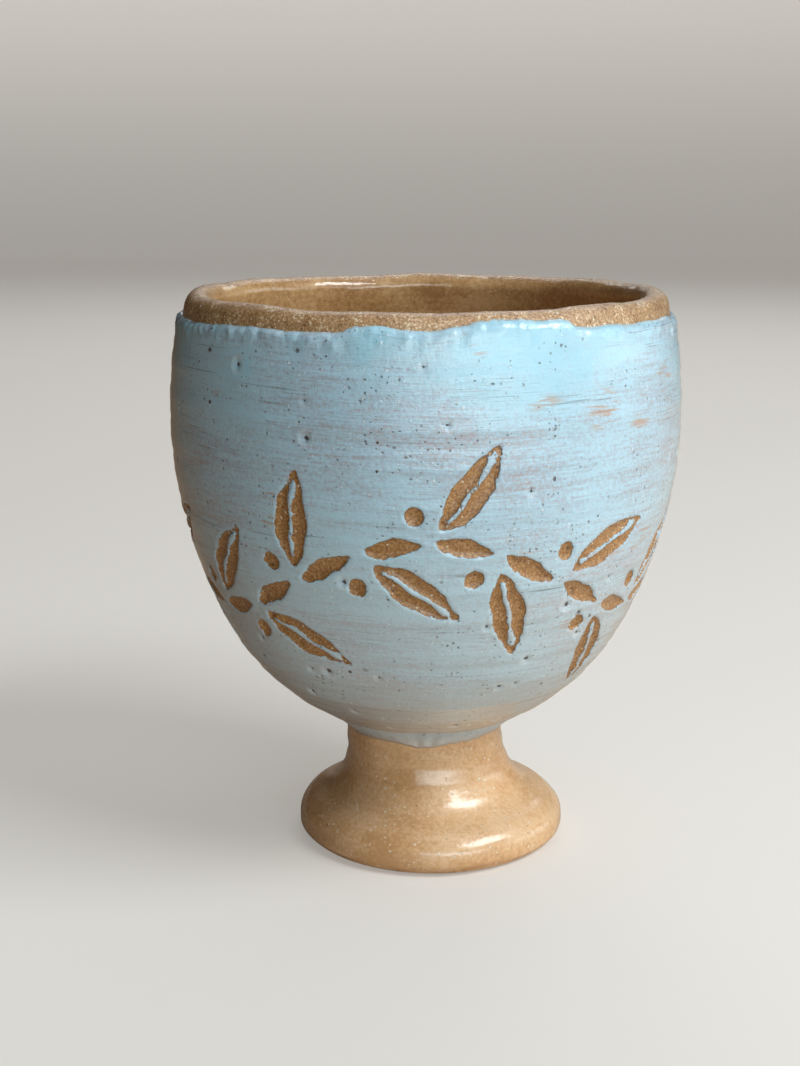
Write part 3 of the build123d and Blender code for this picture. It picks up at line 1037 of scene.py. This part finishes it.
for piece, slotName, nodes in (
    (slipSkin, "white_slip", ("slip_coat", "bowl_glaze")),
    (bowlClay, "clay", ("bowl", "liner_glaze")),
    (footClay, "clay", ("foot", "foot_glaze")),
):
    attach(piece, "root")
    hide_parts(*nodes)

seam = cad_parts["luting_slip"]  # shows nowhere, but it is still fired clay
seam.data.materials.clear()
seam.data.materials.append(dryFinish)

# Stage: a round pale cove, so that every side has the same backdrop
stage = {
    "floor": 1.5,
    "sweep": 0.7,
    "wall": 2.2,
    "tone": paint(204, 200, 194),
    "shadedBounceLeft": paint(150, 122, 96),  # painted shade and warm reflection: the floor is darker and warmer, for the light the cup picks up from it, on the shaded side
    "litBounceRight": paint(232, 216, 198),  # and paler, as painted light, on the lit side
    "lift": 0.46,  # keeps the floor and the wall pale to the camera, and lights nothing
    "wallLift": 0.86,
    "bounceBlend": 0.2,
    "worldTone": (1.0, 0.93, 0.86, 1.0),
    "worldStrength": 0.08,
}


def buildCove():
    edge = (stage["floor"], stage["sweep"])
    wallReach = stage["floor"] + stage["sweep"]
    profile = joinWalks(
        walkLine((0.0, 0.0), (stage["floor"], 0.0), 0.1),
        walkArc(edge, stage["sweep"], -quarterTurn, 0, 0.05),
        walkLine((wallReach, stage["sweep"]), (wallReach, stage["wall"]), 0.4),
    )
    cove = latheProfile("cove", profile, 96)
    bpy.ops.object.mode_set(mode="EDIT")
    bpy.ops.mesh.select_all(action="SELECT")
    bpy.ops.mesh.normals_make_consistent(inside=True)
    bpy.ops.object.mode_set(mode="OBJECT")
    material, tree, shader = newFinish("paleCove")
    seen = tree.nodes.new("ShaderNodeLightPath").outputs["Is Camera Ray"]
    aside = partOf(tree, objectPlace(tree), "X")
    # the floor's bounce colour is painted darker on the left and paler on the right: painted shade and
    # light
    rightward = between(tree, aside, -stage["bounceBlend"], stage["bounceBlend"])
    bounce = blendColour(tree, rightward, stage["shadedBounceLeft"], stage["litBounceRight"])
    feed(tree, shader.inputs["Base Color"], blendColour(tree, seen, bounce, stage["tone"]))
    shader.inputs["Emission Color"].default_value = stage["tone"]
    upWall = between(tree, heightOf(tree, objectPlace(tree)), 0.0, 0.6 * stage["sweep"])
    lift = calc(tree, "MULTIPLY_ADD", upWall, stage["wallLift"] - stage["lift"], stage["lift"])
    feed(tree, shader.inputs["Emission Strength"], calc(tree, "MULTIPLY", seen, lift))
    shader.inputs["Roughness"].default_value = 0.9
    shader.inputs["Specular IOR Level"].default_value = 0.1
    cove.data.materials.append(material)


buildCove()


def softLight(name, place, width, height, power, tone, spread=math.pi):
    deselectAll()
    bpy.ops.object.light_add(type="AREA", location=place)
    lamp = bpy.context.object
    lamp.name = name
    lamp.data.shape = "RECTANGLE"
    lamp.data.size = width
    lamp.data.size_y = height
    lamp.data.energy = power
    lamp.data.color = tone
    lamp.data.spread = spread
    lamp.visible_camera = False
    lamp.rotation_euler = (Vector(cupMiddle) - Vector(place)).to_track_quat("-Z", "Y").to_euler()


cupMiddle = (0.0, 0.0, 0.05)
coolWhite = (0.93, 0.97, 1.0)
skyWhite = (0.80, 0.94, 1.0)
lamps = (
    {"name": "highWindow", "place": (0.46, -0.26, 0.58), "width": 0.42, "height": 0.24,
     "power": 4.0, "tone": coolWhite},
    {"name": "frontStrip", "place": (0.44, -1.12, 0.23), "width": 1.65, "height": 0.36,
     "power": 2.5, "tone": skyWhite, "spread": quarterTurn},
    {"name": "rightStrip", "place": (1.20, 0.08, 0.27), "width": 1.20, "height": 0.38,
     "power": 0.7, "tone": skyWhite, "spread": quarterTurn},
    {"name": "backFill", "place": (0.10, 0.85, 0.65), "width": 0.80, "height": 0.50,
     "power": 2.0, "tone": coolWhite},
    {"name": "overhead", "place": (0.0, 0.20, 1.25), "width": 1.2, "height": 1.2,
     "power": 2.0, "tone": coolWhite},
)
for lamp in lamps:
    softLight(**lamp)

world = bpy.data.worlds.new("studio")
bpy.context.scene.world = world
world.use_nodes = True
world.node_tree.nodes["Background"].inputs["Color"].default_value = stage["worldTone"]
world.node_tree.nodes["Background"].inputs["Strength"].default_value = stage["worldStrength"]

# Camera where the photograph was taken from: a normal phone lens, close by and a little above the lip
photo = {
    "width": 800,
    "height": 1066,
    "focal": 1603.6,  # in pixels
    "axis": 424.6,  # pixel column of the cup's axis
    "away": 265.5 * mm,
    "up": 115.6 * mm,
    "tilt": math.radians(13.32),
}
sensor = 36.0
deselectAll()
drop = photo["up"] - cup["height"] / 2
depth = photo["away"] * math.cos(photo["tilt"]) + drop * math.sin(photo["tilt"])
aside = (photo["axis"] - photo["width"] / 2) * depth / photo["focal"]
bpy.ops.object.camera_add(location=(-aside, -photo["away"], photo["up"]),
                          rotation=(quarterTurn - photo["tilt"], 0, 0))
camera = bpy.context.object
camera.data.sensor_width = sensor
camera.data.lens = photo["focal"] / photo["height"] * sensor
camera.data.clip_start = 0.01
bpy.context.scene.camera = camera
bpy.context.scene.view_settings.view_transform = "Standard"
print("camera and light set")
